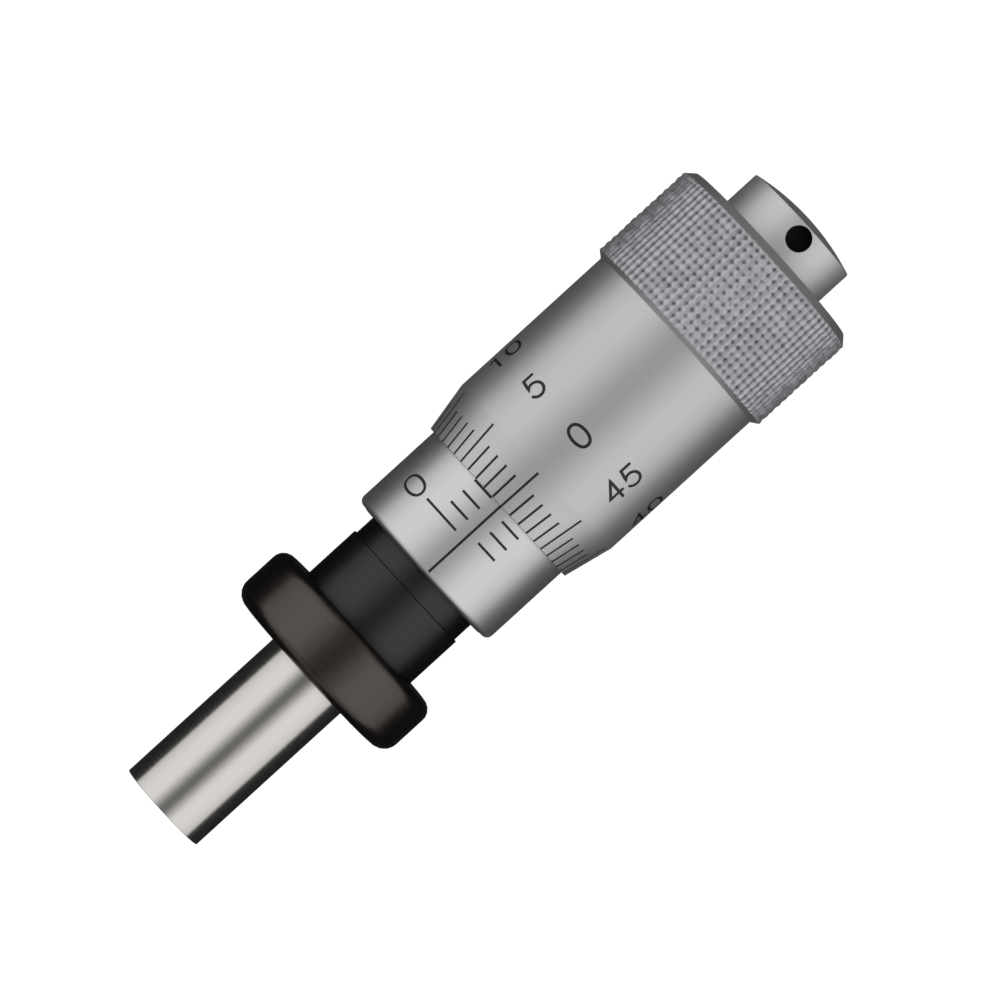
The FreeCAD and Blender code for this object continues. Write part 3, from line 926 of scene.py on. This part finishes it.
# %% Turn and thread the clamp nut
NUT_BORE = 4.26
NUT_ROUND_FRONT = 1.1
NUT_ROUND_REAR = 0.9
NUT_LIP_RADIUS = 4.80
NUT_LIP_DEPTH = 0.6
nut_front, nut_rear, nut_radius = reach("clamp_nut")
lip_x = nut_rear - NUT_LIP_DEPTH
nut_line = outline([
    (nut_front + THREAD_CHAMFER, NUT_BORE), (nut_front, NUT_BORE + THREAD_CHAMFER, EDGE_ROUND),
    (nut_front, nut_radius, NUT_ROUND_FRONT), (nut_rear, nut_radius, NUT_ROUND_REAR),
    (nut_rear, NUT_LIP_RADIUS, EDGE_ROUND), (lip_x, NUT_LIP_RADIUS), (lip_x, NUT_BORE)])
clamp_nut = turned("clamp_nut_turned", nut_line, nut_oxide)
# It keeps step with the stem's thread. A cover below zero grows inwards, through the bore.
turns_before = math.ceil((stem_front - nut_front) / PITCH) + 1
cut(clamp_nut, grow(
    thread_tree, turns=turns_before + STEM_TURNS - 1, crest_radius=NUT_BORE + THREAD_DEPTH,
    start=stem_front - RUN_IN - turns_before * PITCH, cover=-0.5, finish=nut_oxide))
hand_over(clamp_nut, nut_line, "clamp_nut", "clamp_nut")

# %% [markdown]
# ## Outer sleeve
# A thin sleeve, plated in satin chrome, that carries the reading line with the millimetres
# above it and the half millimetres below. A small key in the hole at its back turns it on
# the body to set the zero.

# %% Turn the outer sleeve
SLEEVE_BORE = 5.32
SLEEVE_ROUND = 0.45
sleeve_line = outline([
    (sleeve_front, SLEEVE_BORE, EDGE_ROUND), (sleeve_front, sleeve_radius, SLEEVE_ROUND),
    (sleeve_rear, sleeve_radius, EDGE_ROUND), (sleeve_rear, SLEEVE_BORE, EDGE_ROUND)])
sleeve = turned("outer_sleeve_turned", sleeve_line, satin_chrome)

# %% Engrave its scale
ZERO_X = 3.35
TRAVEL = 13
LINE_GAP = 0.76
SLEEVE_SHORT = 1.6
SLEEVE_LONG = 2.85
short_line = (LINE_WIDTH, SLEEVE_SHORT, BLOCK_HEIGHT)
long_line = (LINE_WIDTH, SLEEVE_LONG, BLOCK_HEIGHT)
reading_line = (ZERO_X + TRAVEL + 1.0, LINE_WIDTH, BLOCK_HEIGHT)
for count, start, towards, short, long in (
        (TRAVEL + 1, (ZERO_X, LINE_GAP, 0.0), (0.0, 1.0, 0.0), short_line, long_line),
        (TRAVEL, (ZERO_X + 0.5, -LINE_GAP, 0.0), (0.0, -1.0, 0.0), short_line, short_line),
        (1, (-1.0, 0.0, 0.0), (1.0, 0.0, 0.0), reading_line, reading_line)):
    cut(sleeve, grow(
        lines_tree, count=count, start=start, grow=towards, short_line=short, long_line=long,
        layout_radius=sleeve_radius, base_radius=sleeve_radius, paint=paint))

# %% Engrave its numbers
SLEEVE_DIGIT = 2.0
SLEEVE_STROKE = 0.20
SLEEVE_DIGIT_TURN = 48.7
digit_y = math.radians(SLEEVE_DIGIT_TURN) * sleeve_radius
sleeve_numbers = [(str(n), ZERO_X + n, digit_y) for n in (0, 5, 10)]
cut(sleeve, grow(
    numbers_tree, flat_numbers(sleeve_numbers, SLEEVE_DIGIT, SLEEVE_STROKE),
    radius=sleeve_radius, paint=paint), crossing=True)

# %% Drill the key hole at its back
KEY_HOLE_X = 2.2
KEY_HOLE_RADIUS = 0.6
KEY_HOLE_LOW = 4.0


def drill(x, radius, low, high, turn, material):
    """Round cutter that points at the axis, turned about X from +Z by turn (degrees)."""
    rim = arc(x, 0, radius, radius, 0, 360, 49)[:-1]
    return prisms("drill", rim, low, high, [turn], material)


cut(sleeve, drill(KEY_HOLE_X, KEY_HOLE_RADIUS, KEY_HOLE_LOW, PAST_ALL, 180, satin_chrome))
hand_over(sleeve, sleeve_line, "outer_sleeve", "outer_sleeve")

# %% [markdown]
# ## Thimble
# The thimble is the drum that the fingers turn. Its bevelled edge carries fifty divisions, so
# each is a hundredth of a millimetre of feed. Behind the numbers comes a plain barrel, and
# then the knurled band.

# %% Turn the thimble
THIMBLE_BORE = 6.12
EDGE_RADIUS = 6.30
BARREL_RADIUS = 7.0
BEVEL_LENGTH = 3.32
BEVEL_ROUND = 1.0
KNURL_LENGTH = 8.09
KNURL_BEVEL = 0.36
KNURL_ROUND = 0.1
REAR_CHAMFER = 0.6
CHAMFER_ROUNDS = (0.35, 0.15)
TAPER_PLAY = 0.02
edge_x, thimble_rear, _ = reach("thimble")
knurl_front = thimble_rear - KNURL_LENGTH
thimble_line = outline([
    (edge_x, THIMBLE_BORE), (edge_x, EDGE_RADIUS, EDGE_ROUND),
    (edge_x + BEVEL_LENGTH, BARREL_RADIUS, BEVEL_ROUND),
    (knurl_front, BARREL_RADIUS, EDGE_ROUND),
    (knurl_front + KNURL_BEVEL, KNURL_RADIUS, KNURL_ROUND),
    (thimble_rear - REAR_CHAMFER, KNURL_RADIUS, CHAMFER_ROUNDS[0]),
    (thimble_rear, KNURL_RADIUS - REAR_CHAMFER, CHAMFER_ROUNDS[1]),
    (thimble_rear, TAPER_REAR_RADIUS + TAPER_PLAY),
    (spindle_rear, TAPER_REAR_RADIUS + TAPER_PLAY),
    (taper_front, TAPER_FRONT_RADIUS + TAPER_PLAY), (taper_front, THIMBLE_BORE)])
thimble = turned("thimble_turned", thimble_line, matt_chrome)

# %% Roll the knurl
KNURL_AROUND = 86
KNURL_OVERLAP = 0.3
TIP_GAP = 0.02
tooth = 2 * math.pi * KNURL_RADIUS / KNURL_AROUND
knurl_start = knurl_front + KNURL_OVERLAP / 2
knurl_rows = math.ceil((thimble_rear + KNURL_OVERLAP - knurl_start) / tooth)
cut(thimble, grow(
    knurl_tree, around=KNURL_AROUND, rows=knurl_rows, period=tooth, start=knurl_start,
    tip_radius=KNURL_RADIUS - TIP_GAP, depth=KNURL_DEPTH - TIP_GAP, finish=knurl_chrome_shaded_pits))

# %% Engrave its divisions
DIVISIONS = 50
DIVISION_SHORT = 1.97
DIVISION_LONG = 3.1
OVERHANG = 0.3
division = 2 * math.pi * BARREL_RADIUS / DIVISIONS
cut(thimble, grow(
    lines_tree, count=DIVISIONS, start=(edge_x - OVERHANG, 0.0, 0.0),
    step=(0.0, division, 0.0),
    short_line=(DIVISION_SHORT + OVERHANG, LINE_WIDTH, BLOCK_HEIGHT),
    long_line=(DIVISION_LONG + OVERHANG, LINE_WIDTH, BLOCK_HEIGHT),
    layout_radius=BARREL_RADIUS, base_radius=EDGE_RADIUS, slope_start=edge_x,
    slope=(BARREL_RADIUS - EDGE_RADIUS) / BEVEL_LENGTH, paint=paint))

# %% Engrave its numbers
NUMBER_X = 13.0
THIMBLE_DIGIT = 1.80
THIMBLE_STROKE = 0.21
thimble_numbers = [(str(n), NUMBER_X, n * division) for n in range(0, DIVISIONS, 5)]
cut(thimble, grow(
    numbers_tree, flat_numbers(thimble_numbers, THIMBLE_DIGIT, THIMBLE_STROKE),
    radius=BARREL_RADIUS, paint=paint), crossing=True)
hand_over(thimble, thimble_line, "thimble", "thimble")

# %% [markdown]
# ## Cap
# The cap is a screw with a domed head. It draws the thimble onto the spindle's taper, and
# a small key in its side hole turns it.

# %% Turn and drill the cap
CAP_RADIUS = 4.3
CAP_DOME = 0.59
RIM_ROUND = 0.08
RIM_REACH = 0.03
SHANK_RADIUS = 2.0
SHANK_ROUND = 0.1
CAP_KEY_X = 31.50
CAP_KEY_RADIUS = 0.86
CAP_KEY_DEPTH = 2.2
CAP_KEY_TURN = 4.0
DOME_STEPS = 14
shank_front, cap_top, _ = reach("thimble_cap")
dome_radius = (CAP_RADIUS ** 2 + CAP_DOME ** 2) / (2 * CAP_DOME)
dome_reach = math.asin(CAP_RADIUS / dome_radius)
dome = [(cap_top - dome_radius * (1 - math.cos(a)), dome_radius * math.sin(a))
        for a in np.linspace(dome_reach, 0, DOME_STEPS + 1)]
dome[-1] = (cap_top, 0.0)


def away(point):
    """Direction from the dome's centre, which is on the axis."""
    return unit(np.subtract(point, (cap_top - dome_radius, 0)))


# The dome's flats, which face mostly to the rear, get the directions of the true arc.
cap_line = [
    (start, end, away(start), away(end))
    if start[0] >= dome[0][0] + RIM_REACH and abs(out_start[1]) < 0.9
    else (start, end, out_start, out_end)
    for start, end, out_start, out_end in outline([
        (shank_front, 0), (shank_front, SHANK_RADIUS, SHANK_ROUND),
        (thimble_rear, SHANK_RADIUS), (thimble_rear, CAP_RADIUS),
        (*dome[0], RIM_ROUND), *dome[1:]])]
cap = turned("thimble_cap_turned", cap_line, cap_chrome)
# The key hole is lined with the black enamel, which is painted shade inside the hole.
cut(cap, drill(CAP_KEY_X, CAP_KEY_RADIUS, CAP_RADIUS - CAP_KEY_DEPTH, CAP_RADIUS + 1,
               CAP_KEY_TURN, paint))
hand_over(cap, cap_line, "thimble", "thimble_cap")

# %% [markdown]
# ## Studio
# Bright round metal shows its surroundings, so the light matters as much as the finish. Lamps
# would leave hard spots on it, so the world itself is a soft white tent. A darker strip runs
# along the part straight above it, where the camera looks in, and gives each cylinder the
# grey line along its middle. The foot and the ends of the tent are dimmer, for quiet end
# faces. Below, a tray of five black cards keeps the white floor out of the metal, so that its
# edges stay dark and firm. The camera doesn't see the tray, and it casts no shadow.

# %% The light tent
GAP_FROM = 2
GAP_TO = 38
GAP_LEVEL = 0.17
SIDE_LEVEL = 1.05
FOOT_LEVEL = 0.8
FOOT_TO = 0.5
END_LEVEL = 0.6
ENDS_FROM = 0.5
ENDS_TO = 0.9
world = bpy.data.worlds.new("light tent")
scene.world = world
world.use_nodes = True
tree = world.node_tree
place = add(tree, "ShaderNodeTexCoord").outputs["Generated"]
look = add(tree, "ShaderNodeSeparateXYZ", [place]).outputs
aside = add(tree, MATH, [look["Y"]], operation="ABSOLUTE")
sideways = add(tree, MATH, [aside, look["Z"]], operation="ARCTAN2")
gap = add(tree, "ShaderNodeMapRange", {
    "Value": sideways, "From Min": math.radians(GAP_FROM), "From Max": math.radians(GAP_TO),
    "To Min": GAP_LEVEL, "To Max": SIDE_LEVEL}, interpolation_type="SMOOTHSTEP")
foot = add(tree, "ShaderNodeMapRange", {
    "Value": look["Z"], "From Min": 0.0, "From Max": FOOT_TO, "To Min": FOOT_LEVEL})
endwards = add(tree, MATH, [look["X"]], operation="ABSOLUTE")
ends = add(tree, "ShaderNodeMapRange", {
    "Value": endwards, "From Min": ENDS_FROM, "From Max": ENDS_TO, "To Min": 1.0,
    "To Max": END_LEVEL}, interpolation_type="SMOOTHSTEP")
sides = add(tree, MATH, [gap, foot], operation="MULTIPLY")
level = add(tree, MATH, [sides, ends], operation="MULTIPLY")
fill(tree, tree.nodes["Background"], {"Color": colour("#FFFFFF"), "Strength": level})
print("the tent is dim for", GAP_FROM, "and bright from", GAP_TO, "degrees off the zenith")

# %% The paper
# It keeps its shadow, and shows at its full white to the eye and in metal.
PAPER_LIFT = 0.48
paper, tree = new_material("white paper sweep")
tree.nodes.clear()
rays = add(tree, "ShaderNodeLightPath").outputs
bounced = add(tree, MATH, [rays["Is Glossy Ray"], rays["Is Transmission Ray"]],
              operation="MAXIMUM")
seen = add(tree, MATH, [rays["Is Camera Ray"], bounced], operation="MAXIMUM")
strength = add(tree, MATH, [seen, PAPER_LIFT], operation="MULTIPLY")
white = add(tree, "ShaderNodeBsdfDiffuse", {"Color": colour("#EDEDED")})
lift = add(tree, "ShaderNodeEmission", {"Color": colour("#FFFFFF"), "Strength": strength})
add(tree, "ShaderNodeOutputMaterial", [add(tree, "ShaderNodeAddShader", [white, lift])])
print(paper.name, "adds", PAPER_LIFT, "of its own light")

# %% The floor
FLOOR_Z = -0.12
FLOOR_SIZE = 4.0


def sheet(name, corners, material):
    """Flat stage piece with the corners given."""
    mesh = bpy.data.meshes.new(name)
    mesh.from_pydata(corners, [], [tuple(range(len(corners)))])
    piece = in_scene(name, mesh, material)
    piece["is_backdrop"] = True
    return piece


half_floor = FLOOR_SIZE / 2
floor = sheet("floor", [(x * half_floor, y * half_floor, FLOOR_Z)
                        for x, y in ((-1, -1), (1, -1), (1, 1), (-1, 1))], paper)
print(floor.name, FLOOR_SIZE, "m wide")

# %% The tray of cards
TRAY_FOOT = FLOOR_Z + MM
LEFT_WALL = (0.046, -0.0012)
RIGHT_WALL = (-0.046, 0.0006)
FRONT_WALL = (-0.08, 0.002)
REAR_WALL = (0.09, 0.016)
card, card_tree = new_material("black velvet card")
card_tree.nodes.clear()
velvet = add(card_tree, "ShaderNodeBsdfDiffuse", {"Color": colour("#323232")})
add(card_tree, "ShaderNodeOutputMaterial", {"Surface": velvet})
tray_corners = [(FRONT_WALL[0], LEFT_WALL[0]), (REAR_WALL[0], LEFT_WALL[0]),
                (REAR_WALL[0], RIGHT_WALL[0]), (FRONT_WALL[0], RIGHT_WALL[0])]
tray = [sheet("tray_bottom", [(x, y, TRAY_FOOT) for x, y in tray_corners], card)]
for name, i, (_, top) in (("tray_left", 0, LEFT_WALL), ("tray_rear", 1, REAR_WALL),
                          ("tray_right", 2, RIGHT_WALL), ("tray_front", 3, FRONT_WALL)):
    a, b = tray_corners[i], tray_corners[(i + 1) % 4]
    tray.append(sheet(name, [(*a, top), (*b, top), (*b, TRAY_FOOT), (*a, TRAY_FOOT)], card))
for wall in tray:
    wall.visible_camera = wall.visible_diffuse = wall.visible_shadow = False
print("tray:", [wall.name for wall in tray])

# %% [markdown]
# ## Camera
# The photograph looks straight down on the part, which lies at 42 degrees across the frame.
# The lens is long, as for a product shot, so that the part keeps its parallel edges.

# %% Place the camera
AXIS_TURN = 42.34
CAMERA_LEAN = 3.0
AIM_X = 6.66
CAMERA_AWAY = 0.439
lean = math.radians(CAMERA_LEAN)
turn = math.radians(AXIS_TURN)
back = Vector((0, math.sin(lean), math.cos(lean)))
side_up = Vector((0, math.cos(lean), -math.sin(lean)))
right = math.cos(turn) * Vector((1, 0, 0)) - math.sin(turn) * side_up
up = math.sin(turn) * Vector((1, 0, 0)) + math.cos(turn) * side_up
camera_data = bpy.data.cameras.new("camera")
camera_data.lens = 250
camera_data.sensor_width = 36
camera = in_scene("camera", camera_data)
axes = Matrix((right, up, back)).transposed().to_4x4()
camera.matrix_world = Matrix.Translation(Vector((AIM_X * MM, 0, 0)) + back * CAMERA_AWAY) @ axes
scene.camera = camera
scene.view_settings.view_transform = "Standard"
print("camera", CAMERA_AWAY, "m away, with a lens of", camera_data.lens, "mm")

# %% Print both boxes and finish
seen_low, seen_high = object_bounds()
size = {"cad": [list(cad_low), list(cad_high)], "visual": [list(seen_low), list(seen_high)]}
print("CAD box", size["cad"])
print("visual box", size["visual"])
